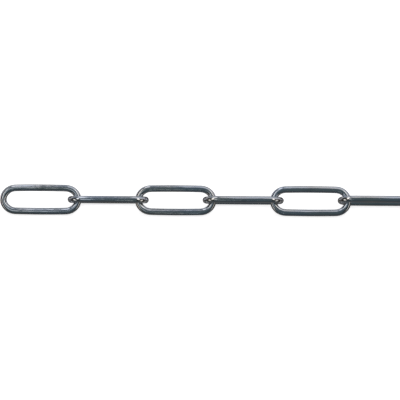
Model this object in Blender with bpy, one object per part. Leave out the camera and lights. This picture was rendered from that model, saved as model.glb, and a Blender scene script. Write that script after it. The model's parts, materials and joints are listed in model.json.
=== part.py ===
# A one metre length of long-link steel chain, lying straight along X on a level floor.
# Every link is one closed oval of round wire. The odd links and the even links lean
# about 45 degrees to opposite sides, so the chain stands on two rows of wires.
# Units are metres, +Z is up, and the origin is on the floor under the chain's middle.

import math

import bmesh
import bpy
from mathutils import Matrix

# Driving sizes
LINK_COUNT = 20
WIRE_DIAMETER = 0.005
LINK_LENGTH = 0.0603          # outside, end to end
LINK_WIDTH = 0.0225           # outside, across the two legs
LINK_PITCH = 0.050            # from one link to the next, along the chain
CROWN_REACH = 0.0096          # from the end of a leg to the crown's tip, on the wire's centre line

# How the chain lies
LYING_LEAN = 45.0             # degrees from level, the same for both sets of links
TWIST_PEAK = 8.5              # degrees more upright, at the link where the chain twists most
TWIST_LINK = 6                # number of that link
TWIST_SPREAD = 2.02           # links from the peak to half of the twist

# How finely the round shapes are cut into flats
WIRE_SIDES = 16
CROWN_STEPS = 9

MERGE_DISTANCE = 0.00001
SHARP_ANGLE = math.radians(50.0)

# Worked out from the driving sizes
WIRE_RADIUS = WIRE_DIAMETER / 2
CORNER_RADIUS = WIRE_RADIUS / math.cos(math.pi / WIRE_SIDES)
CROWN_RADIUS = (LINK_WIDTH - WIRE_DIAMETER) / 2
HINGE_TO_CENTRE = LINK_PITCH - (LINK_LENGTH - WIRE_DIAMETER) / 2


def crown_tilt(turn):
    """Which way the outside of the oval crown faces at a turn from its tip."""
    return math.atan2(CROWN_REACH * math.sin(turn), CROWN_RADIUS * math.cos(turn))


def leg_half_length():
    """Half of a leg, so that the flat on each crown's tip lies on the link's full length."""
    tip_turn = math.pi / CROWN_STEPS / 2
    tip = CROWN_REACH * math.cos(tip_turn) + WIRE_RADIUS * math.cos(crown_tilt(tip_turn))
    return LINK_LENGTH / 2 - tip


def clear_scene():
    for old in list(bpy.data.objects):
        bpy.data.objects.remove(old, do_unlink=True)


def steel_material():
    material = bpy.data.materials.new("bright_steel")
    material.use_nodes = True
    shader = material.node_tree.nodes["Principled BSDF"]
    shader.inputs["Base Color"].default_value = (0.62, 0.64, 0.68, 1.0)
    shader.inputs["Metallic"].default_value = 1.0
    shader.inputs["Roughness"].default_value = 0.14
    material.diffuse_color = (0.62, 0.64, 0.68, 1.0)
    return material


def wire_stations():
    """Places round the oval where the wire's section stands, clockwise from above."""
    half_leg = leg_half_length()
    stations = []
    for side in (1, -1):
        for step in range(CROWN_STEPS + 1):
            turn = math.pi / 2 - math.pi * step / CROWN_STEPS
            along = side * (half_leg + CROWN_REACH * math.cos(turn))
            across = side * CROWN_RADIUS * math.sin(turn)
            facing = crown_tilt(turn) + (0.0 if side > 0 else math.pi)
            stations.append(
                Matrix.Translation((along, across, 0.0)) @ Matrix.Rotation(facing, 4, "Z")
            )
    return stations


def link_mesh(material):
    """One link in the XY plane: the wire's section carried round two crowns and two legs."""
    bm = bmesh.new()
    stations = wire_stations()
    # The section lies across the wire, with the middle of a flat facing out of the oval.
    across_wire = Matrix.Rotation(math.pi / 2, 4, "X") @ Matrix.Rotation(math.pi / WIRE_SIDES, 4, "Z")
    bmesh.ops.create_circle(
        bm, segments=WIRE_SIDES, radius=CORNER_RADIUS, matrix=stations[0] @ across_wire
    )
    ring = list(bm.edges)
    for here, there in zip(stations, stations[1:] + stations[:1]):
        pulled = bmesh.ops.extrude_edge_only(bm, edges=ring)["geom"]
        corners = [part for part in pulled if isinstance(part, bmesh.types.BMVert)]
        bmesh.ops.transform(bm, matrix=there @ here.inverted(), verts=corners)
        ring = [part for part in pulled if isinstance(part, bmesh.types.BMEdge)]
    bmesh.ops.remove_doubles(bm, verts=list(bm.verts), dist=MERGE_DISTANCE)
    bmesh.ops.recalc_face_normals(bm, faces=list(bm.faces))
    # The mesh's origin is the hinge: the middle of the wire that the link hangs on.
    bmesh.ops.translate(bm, verts=list(bm.verts), vec=(HINGE_TO_CENTRE, 0.0, 0.0))
    mesh = bpy.data.meshes.new("chain_link")
    bm.to_mesh(mesh)
    bm.free()
    mesh.materials.append(material)
    mesh.shade_smooth()
    mesh.set_sharp_from_angle(angle=SHARP_ANGLE)
    return mesh


def link_lean(number):
    """Degrees from level. The even links stand more upright near the chain's twist."""
    if number % 2:
        return LYING_LEAN
    away = (number - TWIST_LINK) / TWIST_SPREAD
    return LYING_LEAN + TWIST_PEAK / (1 + away * away)


def lying_place(mesh, number):
    """Lean the link to its own side, and lower it until its lower leg is on the floor."""
    side = 1 if number % 2 else -1
    turn = Matrix.Rotation(side * math.radians(link_lean(number)), 4, "X")
    lowest = min((turn @ corner.co).z for corner in mesh.vertices)
    along = (number - (LINK_COUNT + 1) / 2) * LINK_PITCH - HINGE_TO_CENTRE
    return Matrix.Translation((along, 0.0, -lowest)) @ turn


def hang_on(link, place, holder, holder_place, collection):
    """Hang a link on the far crown of the one before: its empty turns about that wire."""
    hinge = bpy.data.objects.new(link.name.replace("link", "hinge"), None)
    hinge.empty_display_size = CROWN_RADIUS
    collection.objects.link(hinge)
    # The empty's own Y runs along the holder's crown wire, and is the hinge's axis.
    crown_wire = Matrix.Translation((LINK_PITCH, 0.0, 0.0))
    hinge.parent = holder
    hinge.matrix_local = crown_wire
    link.parent = hinge
    link.matrix_local = (holder_place @ crown_wire).inverted() @ place


def build_chain():
    clear_scene()
    collection = bpy.data.collections.new("steel_chain")
    bpy.context.scene.collection.children.link(collection)
    mesh = link_mesh(steel_material())
    holder, holder_place = None, None
    for number in range(1, LINK_COUNT + 1):
        link = bpy.data.objects.new(f"link_{number:02d}", mesh)
        collection.objects.link(link)
        place = lying_place(mesh, number)
        if holder is None:
            link.matrix_world = place
        else:
            hang_on(link, place, holder, holder_place, collection)
        holder, holder_place = link, place


build_chain()
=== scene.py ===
# Looks of the one metre length of bright steel chain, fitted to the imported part.
import json
import math
import bpy
import numpy as np
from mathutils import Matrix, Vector

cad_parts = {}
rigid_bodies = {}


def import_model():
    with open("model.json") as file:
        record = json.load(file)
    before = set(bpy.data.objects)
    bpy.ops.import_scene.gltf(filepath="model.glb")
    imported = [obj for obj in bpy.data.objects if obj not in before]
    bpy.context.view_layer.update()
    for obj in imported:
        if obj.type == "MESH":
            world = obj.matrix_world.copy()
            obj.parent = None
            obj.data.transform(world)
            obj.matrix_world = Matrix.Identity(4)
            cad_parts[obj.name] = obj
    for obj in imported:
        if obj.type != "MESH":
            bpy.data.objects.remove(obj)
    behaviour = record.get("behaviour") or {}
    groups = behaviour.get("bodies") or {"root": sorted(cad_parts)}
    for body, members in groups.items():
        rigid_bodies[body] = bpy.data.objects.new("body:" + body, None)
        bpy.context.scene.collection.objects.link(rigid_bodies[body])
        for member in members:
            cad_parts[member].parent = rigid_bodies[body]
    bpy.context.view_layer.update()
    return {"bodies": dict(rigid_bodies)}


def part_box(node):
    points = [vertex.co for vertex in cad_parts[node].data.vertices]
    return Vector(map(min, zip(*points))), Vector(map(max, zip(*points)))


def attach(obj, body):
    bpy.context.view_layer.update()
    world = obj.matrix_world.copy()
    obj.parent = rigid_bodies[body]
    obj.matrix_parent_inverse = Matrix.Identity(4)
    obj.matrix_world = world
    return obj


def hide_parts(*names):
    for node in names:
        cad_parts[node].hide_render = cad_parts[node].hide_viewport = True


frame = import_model()
scene = bpy.context.scene

linkShape = {
    "length": 0.0603,          # outside, end to end
    "wireRadius": 0.002497,    # of the plain wire, the weld is a little fatter
    "legOffset": 0.00871,      # from the chain's line to the middle of a leg
    "legBow": 1.1,             # degrees that a leg turns by at each end of its slight bow
    "crownEase": 0.30,         # share of a crown's bend in which the wire starts to turn
    "crownTip": 0.30,          # how much tighter the bend gets at the tip
    "shoulderFat": 0.055,      # thicker on the inside of the shoulders, as a share of the radius
    "shoulderOval": 0.035,     # flatter across the shoulders, with the flat's axis twisted a little
    "tipThin": 0.02,           # thinner at the tip, where the wire is stretched
    "flats": 0.012,            # depth of the gripped flats, as a share of the radius
    "weldRise": 0.00003,
    "weldWidth": 0.0011,
    "stations": 208,
    "sides": 40,
    "seed": 4476,
}
linkSeeds = {1: 1331, 2: 2022, 3: 1623, 4: 2154, 5: 2255, 6: 2446}     # random starts of the links that the camera sees
lying = {"lean": 45.0, "twistPeak": 8.5, "twistLink": 6, "twistSpread": 2.02}   # degrees, as in the part


def centreLine(shape, count):
    # A quarter of the loop, from the middle of a leg to the crown's tip: the heading is the running sum
    # of a bend that is nearly nothing on the leg and rises to its full value on the crown, and the
    # place is the running sum of the heading. Three mirrored copies close the loop.
    bow = math.radians(shape["legBow"])
    t = (np.arange(4000) + 0.5) / 4000
    ease = np.clip(t / shape["crownEase"], 0, 1)
    bend = ease * ease * (3 - 2 * ease) * (1 + shape["crownTip"] * np.sin(t * np.pi / 2) ** 2)
    heading = bow + (np.pi / 2 - bow) * np.cumsum(bend) / bend.sum()
    crownAlong = np.cumsum(np.cos(heading)) / 4000
    crownAcross = np.cumsum(np.sin(heading)) / 4000
    legDrop = 0.0
    for _ in range(6):
        crownLength = (shape["legOffset"] - legDrop) / crownAcross[-1]
        legLength = shape["length"] / 2 - 0.0025 - crownAlong[-1] * crownLength
        legDrop = legLength * bow / 2
    s = np.concatenate([np.linspace(0, legLength, 400, endpoint=False), legLength + crownLength * t])
    leg = s < legLength
    along = np.where(leg, s, 0.0)
    across = np.where(leg, shape["legOffset"] - s * s * bow / legLength / 2, 0.0)
    turn = np.where(leg, s * bow / legLength, 0.0)
    along[~leg] = legLength + crownAlong * crownLength
    across[~leg] = shape["legOffset"] - legDrop - crownAcross * crownLength
    turn[~leg] = heading
    quarter = legLength + crownLength
    # stations stand closer together where the wire turns faster
    share = np.linspace(0, 1, count // 4, endpoint=False)
    spread = 0.45 * s / quarter + 0.55 * turn / (np.pi / 2)
    first = np.interp(share, spread, s)
    place = np.concatenate([first, 2 * quarter - np.interp(1 - share, spread, s)])
    place = np.concatenate([place, place + 2 * quarter])
    folded = place % (2 * quarter)
    back = folded > quarter
    folded = np.where(back, 2 * quarter - folded, folded)
    a = np.interp(folded, s, along)
    b = np.interp(folded, s, across)
    h = np.interp(folded, s, turn)
    b = np.where(back, -b, b)
    h = np.where(back, np.pi - h, h)
    far = place >= 2 * quarter
    a = np.where(far, -a, a)
    b = np.where(far, -b, b)
    h = np.where(far, h + np.pi, h)
    return place, a, b, h, 4 * quarter


def ripple(rng, phase, waves):
    # A sum of whole waves round the loop with random heights and starts, so it closes on itself.
    heights = rng.normal(0, 1, waves) / np.arange(1, waves + 1)
    starts = rng.uniform(0, 2 * np.pi, waves)
    orders = np.arange(1, waves + 1)
    return (heights * np.sin(phase[:, None] * orders + starts)).sum(1) / 1.5


def linkGrid(shape, rng):
    # The wire's section carried along the loop: a point is the centre line's place plus the radius,
    # turned by the angle round the wire between the outward and the upward direction. The radius is
    # trimmed by two or three shallow flats, a fatter shoulder, a thinner tip and a low weld.
    place, a, b, h, total = centreLine(shape, shape["stations"])
    phase = 2 * np.pi * place / total
    outward = np.stack([np.sin(h), np.cos(h), 0 * h], 1)
    upward = np.array([0.0, 0.0, 1.0])
    crown = np.sin(h) ** 2                       # 0 on a leg, 1 at a tip
    shoulder = np.sin(2 * h) ** 2
    round_ = np.arange(shape["sides"]) * 2 * np.pi / shape["sides"]
    ring = np.broadcast_to(round_, (len(place), shape["sides"]))
    grip = ripple(rng, phase, 5)[:, None]
    start = (rng.uniform(0, 2 * np.pi) + 0.9 * ripple(rng, phase, 3))[:, None]
    radius = 1 - shape["flats"] * (0.5 + 0.5 * np.tanh(grip)) * (0.5 + 0.5 * np.cos(2 * ring + start))
    radius = radius - 0.4 * shape["flats"] * (0.5 - 0.5 * np.tanh(grip)) * (0.5 + 0.5 * np.cos(3 * ring - start))
    inside = 0.5 - 0.5 * np.cos(ring)
    radius = radius + shape["shoulderFat"] * shoulder[:, None] * inside ** 2
    twist = 0.6 * ripple(rng, phase, 4)[:, None]
    radius = radius - shape["shoulderOval"] * shoulder[:, None] * np.sin(ring + twist) ** 2
    radius = radius - shape["tipThin"] * (crown[:, None] ** 4) * np.cos(ring) ** 2
    radius = radius * shape["wireRadius"]
    fromWeld = np.minimum(place, total - place)
    weld = np.exp(-(fromWeld / shape["weldWidth"]) ** 2)
    lump = 0.7 + 0.3 * np.cos(ring + rng.uniform(0, 6))
    radius = radius + shape["weldRise"] * weld[:, None] * lump
    centre = np.stack([a, b, 0 * a], 1)
    centre[:, 2] += 0.00004 * ripple(rng, phase, 3) * (1 - crown) ** 2
    points = centre[:, None, :] + radius[:, :, None] * (
        np.cos(ring)[:, :, None] * outward[:, None, :] + np.sin(ring)[:, :, None] * upward
    )
    # rub: where the next link's wire bears, inside each tip
    rub = np.exp(-((1 - crown[:, None]) / 0.16) ** 2) * np.clip(-np.cos(ring), 0, 1) ** 3
    heat = np.exp(-(fromWeld / 0.0035) ** 2)[:, None] + 0 * ring
    # the wire as a big ring in four dimensions, so a pattern on it has no seam: two numbers for the place
    # along the loop and two for the place round the wire
    bigRing = total / (2 * np.pi)
    loop = np.stack([
        bigRing * np.cos(phase)[:, None] + 0 * ring, bigRing * np.sin(phase)[:, None] + 0 * ring,
        radius * np.cos(ring), radius * np.sin(ring)], 2)
    return points, loop, total, rub, heat


def closedFaces(rows, columns):
    # Quads between neighbours on a grid that closes on itself both ways.
    i = np.arange(rows)[:, None]
    j = np.arange(columns)[None, :]
    nextI = (i + 1) % rows
    nextJ = (j + 1) % columns
    quads = np.stack([i * columns + j, nextI * columns + j, nextI * columns + nextJ, i * columns + nextJ], 2)
    return quads.reshape(-1, 4)


def linkLean(number):
    # Odd links lean by the plain angle. Even links stand more upright near the twist, as a bell curve.
    if number % 2:
        return lying["lean"]
    away = (number - lying["twistLink"]) / lying["twistSpread"]
    return -(lying["lean"] + lying["twistPeak"] / (1 + away * away))


def buildLink(number, shape, material):
    name = f"link_{number:02d}"
    rng = np.random.default_rng(linkSeeds.get(number, shape["seed"] + number))
    points, loop, total, rub, heat = linkGrid(shape, rng)
    rows, columns = rub.shape
    # the weld is on the leg away from the eye on some links, so half of them are turned end for end
    turned = -1.0 if number in (3, 4, 7, 10, 12, 15, 16, 19) else 1.0
    points = points * np.array([turned, turned, 1.0])
    lean = math.radians(linkLean(number))
    lift = np.array([[1, 0, 0], [0, math.cos(lean), -math.sin(lean)], [0, math.sin(lean), math.cos(lean)]])
    points = points.reshape(-1, 3) @ lift.T
    # the link is put in the middle of its solid's box, with its lower leg on the floor
    low, high = (np.array(corner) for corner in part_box(name))
    reach = np.array([points.min(0), points.max(0)])
    points += (low + high) / 2 - reach.mean(0)
    points[:, 2] += low[2] - points[:, 2].min()
    faces = closedFaces(rows, columns)
    mesh = bpy.data.meshes.new("steel_" + name)
    mesh.from_pydata(points.tolist(), [], faces.tolist())
    mesh.update()
    loop = loop.reshape(-1, 4) + rng.uniform(-5, 5, 4)       # every link is cut from another stretch of wire
    wire = mesh.attributes.new("wireLoop", "FLOAT_VECTOR", "POINT")
    wire.data.foreach_set("vector", loop[:, :3].astype(np.float32).ravel())
    for label, values in (("wireSide", loop[:, 3]), ("rub", rub), ("weldHeat", heat)):
        layer = mesh.attributes.new(label, "FLOAT", "POINT")
        layer.data.foreach_set("value", values.reshape(-1).astype(np.float32))
    # the map unrolls the wire: metres along it, and metres round it
    i = np.arange(rows)[:, None] + 0 * np.arange(columns)[None, :]
    j = np.arange(columns)[None, :] + 0 * i
    along = np.stack([i, i + 1, i + 1, i], 2) / rows * total
    around = np.stack([j, j, j + 1, j + 1], 2) / columns * 2 * np.pi * shape["wireRadius"]
    uv = mesh.uv_layers.new(name="wireMap")
    uv.data.foreach_set("uv", np.stack([along, around], 3).astype(np.float32).ravel())
    mesh.polygons.foreach_set("use_smooth", np.ones(len(faces), bool))
    mesh.materials.append(material)
    piece = bpy.data.objects.new("steel_" + name, mesh)
    scene.collection.objects.link(piece)
    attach(piece, name)
    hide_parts(name)
    return piece


steelFinish = {
    "coolTone": (0.52, 0.56, 0.62, 1.0),
    "warmTone": (0.62, 0.60, 0.57, 1.0),
    "weldTone": (0.42, 0.40, 0.40, 1.0),
    "roughLow": 0.08,
    "roughHigh": 0.16,
    "scratchRough": 0.09,      # how much duller a scratch is
    "rubRough": 0.12,          # and the rubbed place inside a crown
}


def node(tree, kind, **settings):
    # Adds a node. Keys that are socket names or numbers fill sockets, the others set its properties.
    new = tree.nodes.new(kind)
    for key, value in settings.items():
        if key.startswith("in_"):
            socket = new.inputs[int(key[3:])] if key[3:].isdigit() else new.inputs[key[3:]]
            if isinstance(value, bpy.types.NodeSocket):
                tree.links.new(value, socket)
            else:
                socket.default_value = value
        else:
            setattr(new, key, value)
    return new


def brightSteel(finish):
    material = bpy.data.materials.new("brightDrawnSteel")
    material.use_nodes = True
    tree = material.node_tree
    shader = tree.nodes["Principled BSDF"]
    shader.inputs["Metallic"].default_value = 1.0
    wire = node(tree, "ShaderNodeAttribute", attribute_name="wireLoop").outputs["Vector"]
    side = node(tree, "ShaderNodeAttribute", attribute_name="wireSide").outputs["Fac"]
    rub = node(tree, "ShaderNodeAttribute", attribute_name="rub").outputs["Fac"]
    heat = node(tree, "ShaderNodeAttribute", attribute_name="weldHeat").outputs["Fac"]
    unrolled = node(tree, "ShaderNodeUVMap", uv_map="wireMap").outputs[0]

    def sums(operation, one, two=0.0, three=0.0):
        return node(tree, "ShaderNodeMath", operation=operation, in_0=one, in_1=two, in_2=three).outputs[0]

    def grain(along, across, detail):
        # noise that repeats so many times a metre along the wire and round it
        stretched = node(tree, "ShaderNodeMapping", in_Vector=wire, in_Scale=(along, along, across)).outputs[0]
        return node(tree, "ShaderNodeTexNoise", noise_dimensions="4D", in_Vector=stretched,
                    in_W=sums("MULTIPLY", side, across), in_Scale=1.0, in_Detail=detail).outputs[0]

    def scratch(angle, length, width):
        # straight scratches on the unrolled wire: the peaks of a noise that is drawn out along one direction
        turned = node(tree, "ShaderNodeMapping", vector_type="TEXTURE", in_Vector=unrolled,
                      in_Rotation=(0, 0, math.radians(angle)), in_Scale=(length, width, 1)).outputs[0]
        peaks = node(tree, "ShaderNodeTexNoise", noise_dimensions="2D", in_Vector=turned, in_Scale=1.0,
                     in_Detail=1.0).outputs[0]
        return node(tree, "ShaderNodeMapRange", in_Value=peaks, in_1=0.69, in_2=0.82).outputs[0]

    lines = grain(30, 1500, 3.0)         # drawn lines along the wire
    cloud = grain(45, 260, 4.0)          # clouds of warmer and cooler steel
    dents = grain(90, 330, 1.0)          # shallow hollows
    swell = grain(28, 160, 0.0)          # the wire's slow unevenness
    scratches = sums("MAXIMUM", scratch(14, 0.005, 0.00012), scratch(-31, 0.003, 0.00010))
    scratches = sums("MAXIMUM", scratches, scratch(78, 0.002, 0.00008))
    tone = node(tree, "ShaderNodeMapRange", in_Value=cloud, in_1=0.35, in_2=0.68).outputs[0]
    colour = node(tree, "ShaderNodeMix", data_type="RGBA", in_0=tone, in_6=finish["coolTone"],
                  in_7=finish["warmTone"]).outputs[2]
    colour = node(tree, "ShaderNodeMix", data_type="RGBA", in_0=sums("MULTIPLY", heat, 0.35),
                  in_6=colour, in_7=finish["weldTone"]).outputs[2]
    tree.links.new(colour, shader.inputs["Base Color"])
    rough = node(tree, "ShaderNodeMapRange", in_Value=lines, in_1=0.3, in_2=0.7,
                 in_3=finish["roughLow"], in_4=finish["roughHigh"]).outputs[0]
    fine = sums("MULTIPLY_ADD", scratches, finish["scratchRough"], rough)
    tree.links.new(sums("MULTIPLY_ADD", rub, finish["rubRough"], fine), shader.inputs["Roughness"])
    bump = node(tree, "ShaderNodeBump", in_Height=swell, in_Strength=1.0, in_Distance=0.0005)
    bump = node(tree, "ShaderNodeBump", in_Height=dents, in_Strength=1.0, in_Distance=0.00028,
                in_Normal=bump.outputs[0])
    bump = node(tree, "ShaderNodeBump", in_Height=lines, in_Strength=0.06, in_Distance=0.0004,
                in_Normal=bump.outputs[0])
    bump = node(tree, "ShaderNodeBump", in_Height=scratches, in_Strength=0.4, in_Distance=0.00001,
                in_Normal=bump.outputs[0], invert=True)
    tree.links.new(bump.outputs[0], shader.inputs["Normal"])
    return material


steel = brightSteel(steelFinish)
links = [buildLink(number, linkShape, steel) for number in range(1, len(frame["bodies"]) + 1)]
print("links made:", len(links), "with", len(links[0].data.polygons), "faces each")

stage = {
    "floorSize": 30.0,
    "floorTone": (0.90, 0.90, 0.90),
    "floorGlow": 0.78,         # the floor is a light table, so the shadows on it are faint
    "floorLight": 0.30,        # white light on the floor, not mirrored in the steel
    "farWhite": 1.05,          # and what is seen past the floor
    # what the steel mirrors round the chain's line: degrees from the front horizon, over the top, and its tone
    "roundRoom": (
        (-180, (0.36, 0.38, 0.42)), (-150, (0.17, 0.175, 0.185)), (-90, (0.12, 0.12, 0.12)),
        (-62, (0.11, 0.12, 0.125)), (-45, (0.06, 0.07, 0.08)), (-20, (0.055, 0.075, 0.085)), (10, (0.075, 0.105, 0.12)),
        (50, (0.085, 0.12, 0.14)), (72, (0.105, 0.14, 0.165)), (92, (0.17, 0.20, 0.235)), (110, (0.21, 0.24, 0.28)),
        (140, (0.28, 0.31, 0.36)), (160, (0.40, 0.43, 0.48)), (180, (0.36, 0.38, 0.42)),
    ),
    # and towards either end of the chain: degrees from the camera's line, above it and below it
    "endsAbove": (
        (0, (0.05, 0.065, 0.075)), (22, (0.07, 0.08, 0.085)), (30, (0.03, 0.03, 0.028)), (34, (2.05, 2.03, 1.98)),
        (45, (1.85, 1.82, 1.76)), (49, (0.025, 0.025, 0.022)), (92, (0.025, 0.03, 0.03)), (98, (0.66, 0.66, 0.74)),
        (128, (0.50, 0.52, 0.60)), (134, (0.05, 0.05, 0.05)), (156, (0.06, 0.06, 0.06)), (164, (0.30, 0.31, 0.33)),
        (180, (0.38, 0.39, 0.42)),
    ),
    "endsBelow": (
        (0, (0.05, 0.065, 0.075)), (24, (0.06, 0.07, 0.075)), (32, (0.02, 0.02, 0.018)), (56, (0.018, 0.018, 0.016)),
        (61, (1.25, 1.20, 1.12)), (72, (1.05, 1.01, 0.94)), (76, (0.02, 0.018, 0.016)), (126, (0.025, 0.025, 0.022)),
        (134, (0.26, 0.26, 0.25)), (146, (0.20, 0.20, 0.19)), (152, (0.04, 0.04, 0.04)), (168, (0.12, 0.12, 0.12)),
        (180, (0.38, 0.39, 0.42)),
    ),
}


def layFloor(stage):
    half = stage["floorSize"] / 2
    mesh = bpy.data.meshes.new("paleFloor")
    mesh.from_pydata([(-half, -half, 0), (half, -half, 0), (half, half, 0), (-half, half, 0)], [], [(0, 1, 2, 3)])
    floor = bpy.data.objects.new("paleFloor", mesh)
    scene.collection.objects.link(floor)
    material = bpy.data.materials.new("palePaper")
    material.use_nodes = True
    shader = material.node_tree.nodes["Principled BSDF"]
    shader.inputs["Base Color"].default_value = (*stage["floorTone"], 1.0)
    shader.inputs["Roughness"].default_value = 1.0
    shader.inputs["Specular IOR Level"].default_value = 0.0
    shader.inputs["Emission Color"].default_value = (1.0, 1.0, 1.0, 1.0)
    shader.inputs["Emission Strength"].default_value = stage["floorGlow"]
    mesh.materials.append(material)
    floor.visible_glossy = False     # the steel mirrors the dim room, not the paper


def toneRamp(tree, value, low, high, tones):
    # A ramp of tones over an angle in degrees.
    share = node(tree, "ShaderNodeMapRange", in_Value=value, in_1=math.radians(low), in_2=math.radians(high))
    ramp = node(tree, "ShaderNodeValToRGB", in_0=share.outputs[0])
    stops = ramp.color_ramp.elements
    while len(stops) < len(tones):
        stops.new(1.0)
    for stop, (angle, tone) in zip(stops, tones):
        stop.position = (angle - low) / (high - low)
        stop.color = (*tone, 1.0)
    return ramp.outputs[0]


def lightRoom(stage):
    # The steel mirrors a dim room with pale boxes, and the floor is lit by plain white light.
    world = bpy.data.worlds.new("softRoom")
    scene.world = world
    world.use_nodes = True
    world.cycles.sampling_method = "NONE"
    tree = world.node_tree
    tree.nodes.clear()
    direction = node(tree, "ShaderNodeTexCoord").outputs["Generated"]

    def along(x, y, z):
        return node(tree, "ShaderNodeVectorMath", operation="DOT_PRODUCT",
                    in_0=direction, in_1=(x, y, z)).outputs["Value"]

    def sweep(value, start, end):
        return node(tree, "ShaderNodeMapRange", interpolation_type="SMOOTHSTEP",
                    in_Value=value, in_1=start, in_2=end).outputs[0]

    def sums(operation, one, two=0.0):
        return node(tree, "ShaderNodeMath", operation=operation, in_0=one, in_1=two).outputs[0]

    half = math.sqrt(0.5)
    side = sums("ABSOLUTE", along(1, 0, 0))
    overTop = sums("ARCTAN2", along(0, 0, 1), along(0, -1, 0))
    offCamera = sums("ARCTAN2", side, along(0, -half, half))
    height = along(0, half, half)
    ends = sums("MULTIPLY", sweep(side, 0.25, 0.5), sweep(sums("ABSOLUTE", height), 0.80, 0.55))
    endTone = node(tree, "ShaderNodeMix", data_type="RGBA", in_0=sweep(height, -0.12, 0.12),
                   in_6=toneRamp(tree, offCamera, 0, 180, stage["endsBelow"]),
                   in_7=toneRamp(tree, offCamera, 0, 180, stage["endsAbove"])).outputs[2]
    room = node(tree, "ShaderNodeMix", data_type="RGBA", in_0=ends,
                in_6=toneRamp(tree, overTop, -180, 180, stage["roundRoom"]), in_7=endTone).outputs[2]
    rays = node(tree, "ShaderNodeLightPath").outputs
    white = node(tree, "ShaderNodeMix", data_type="RGBA", in_0=rays["Is Camera Ray"],
                 in_6=(stage["floorLight"],) * 3 + (1.0,), in_7=(stage["farWhite"],) * 3 + (1.0,)).outputs[2]
    seen = node(tree, "ShaderNodeMix", data_type="RGBA", in_0=rays["Is Glossy Ray"], in_6=white, in_7=room)
    shade = node(tree, "ShaderNodeBackground", in_Color=seen.outputs[2], in_Strength=1.0)
    tree.links.new(shade.outputs[0], node(tree, "ShaderNodeOutputWorld").inputs[0])


def softBox(name, middle, aim, size, glow, tone=(1.0, 1.0, 1.0)):
    # A rectangle of light. Its power is four times the glow times the area, so the glow is what the steel mirrors.
    light = bpy.data.lights.new(name, "AREA")
    light.shape = "RECTANGLE"
    light.size, light.size_y = size
    light.energy = 4 * glow * size[0] * size[1]
    light.color = tone
    box = bpy.data.objects.new(name, light)
    scene.collection.objects.link(box)
    direction = np.array(aim, float) - np.array(middle, float)
    direction /= np.linalg.norm(direction)
    box.rotation_mode = "QUATERNION"
    box.rotation_quaternion = Vector(direction).to_track_quat("-Z", "Y")
    box.location = middle
    box.visible_camera = False
    return box


def placeCamera(shot):
    # The camera looks down at half a right angle from the front, through a long lens.
    data = bpy.data.cameras.new("camera")
    camera = bpy.data.objects.new("camera", data)
    scene.collection.objects.link(camera)
    tilt = math.radians(shot["elevation"])
    centre = np.array(shot["centre"])
    camera.location = centre + shot["distance"] * np.array([0, -math.cos(tilt), math.sin(tilt)])
    camera.rotation_euler = (math.pi / 2 - tilt, 0, 0)
    camera.rotation_euler.rotate_axis("Z", math.radians(shot["roll"]))
    data.sensor_width = 36.0
    data.lens = 36.0 * shot["distance"] / shot["width"]
    data.clip_end = 100.0
    scene.camera = camera


shot = {"elevation": 45.0, "distance": 2.6, "width": 0.2963, "centre": (-0.357, 0.0, 0.0092), "roll": 0.37}

layFloor(stage)
lightRoom(stage)
# two boxes above and behind, with a gap between them, a low box at the front left and a small card in front
softBox("overheadLeft", (-0.673, 0.47, 0.88), (-0.673, 0.0, 0.0), (0.32, 0.84), 0.84, (0.96, 0.95, 1.0))
softBox("overheadRight", (0.722, 0.4226, 0.9063), (0.722, 0.0, 0.0), (2.2, 1.05), 0.42, (0.96, 0.95, 1.0))
softBox("frontLeft", (-0.673, -0.725, 0.688), (-0.673, 0.0, 0.0), (0.32, 0.67), 0.45, (0.94, 0.96, 1.0))
softBox("frontCard", (-0.380, -0.98, 0.13), (-0.380, 0.0, 0.0), (0.05, 0.26), 0.34, (0.93, 0.98, 1.0))
placeCamera(shot)
scene.view_settings.view_transform = "Standard"
print("stage set")
